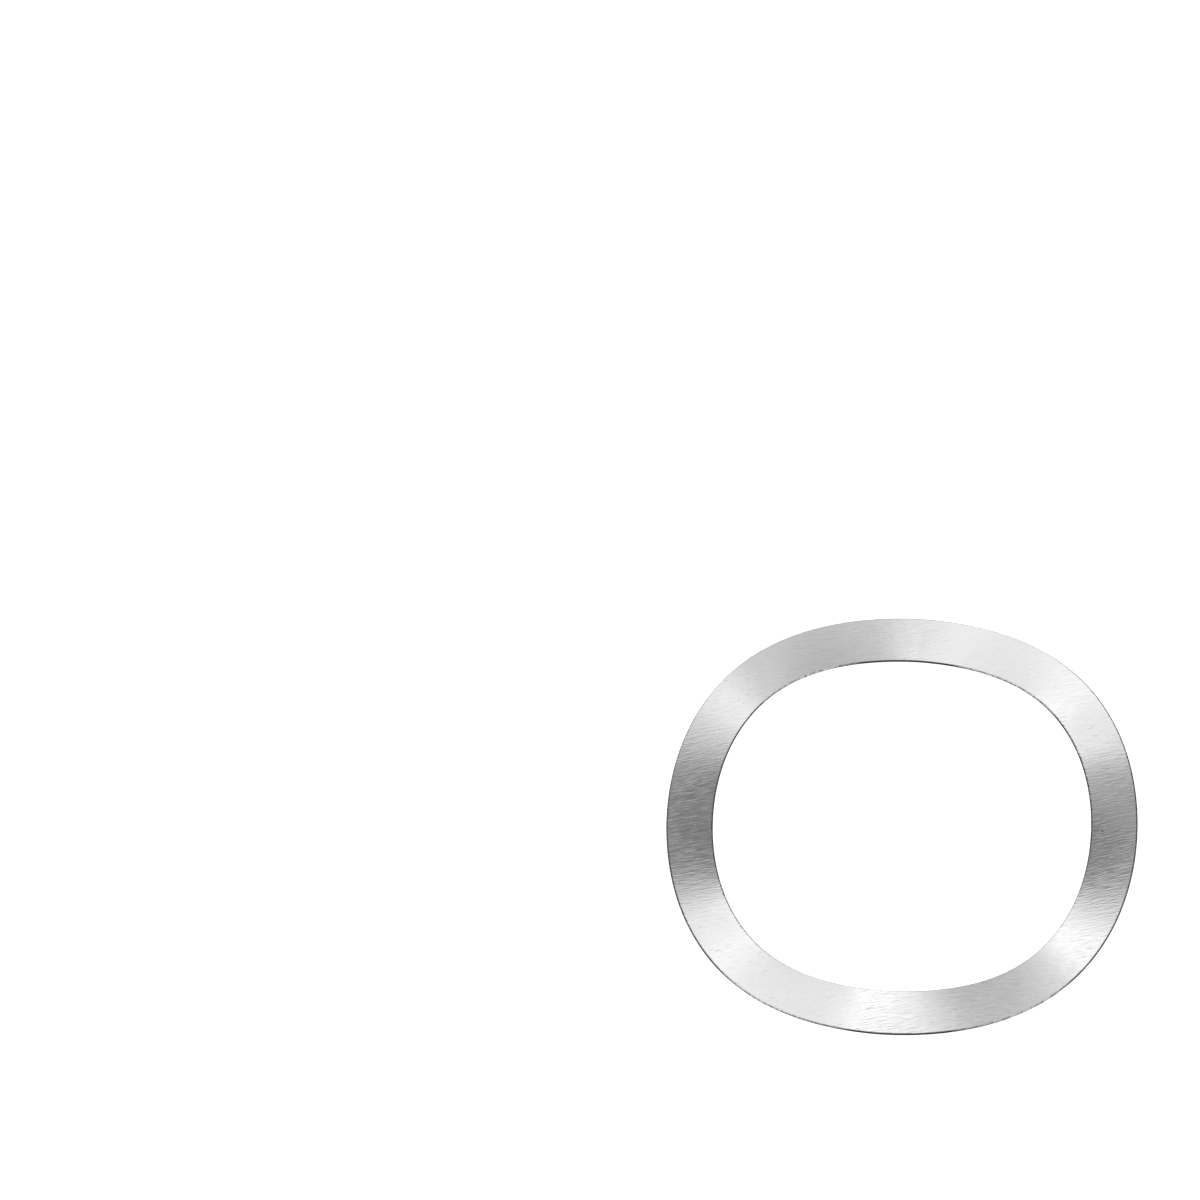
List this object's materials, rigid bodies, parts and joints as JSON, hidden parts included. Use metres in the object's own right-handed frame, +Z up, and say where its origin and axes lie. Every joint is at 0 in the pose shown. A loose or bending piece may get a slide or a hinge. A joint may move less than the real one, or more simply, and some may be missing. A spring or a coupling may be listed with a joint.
{
  "type": "wave spring washer",
  "caption": "Thin spring-steel ring pressed into even waves, which takes up end play and gives a light axial preload between two flat seats.",
  "frame": {"origin": "on the washer's axis, in the flat plane that its troughs rest on", "axes": "+Z up along the washer's axis, towards the seat over its crests; +X through a crest"},
  "size_m": [0.0465, 0.0464, 0.004],
  "materials": {
    "spring_steel": "bright rolled spring steel, satin, with fine straight grain across the whole ring"
  },
  "bodies": {
    "root": {"wave_washer": "spring_steel"}
  },
  "joints": []
}
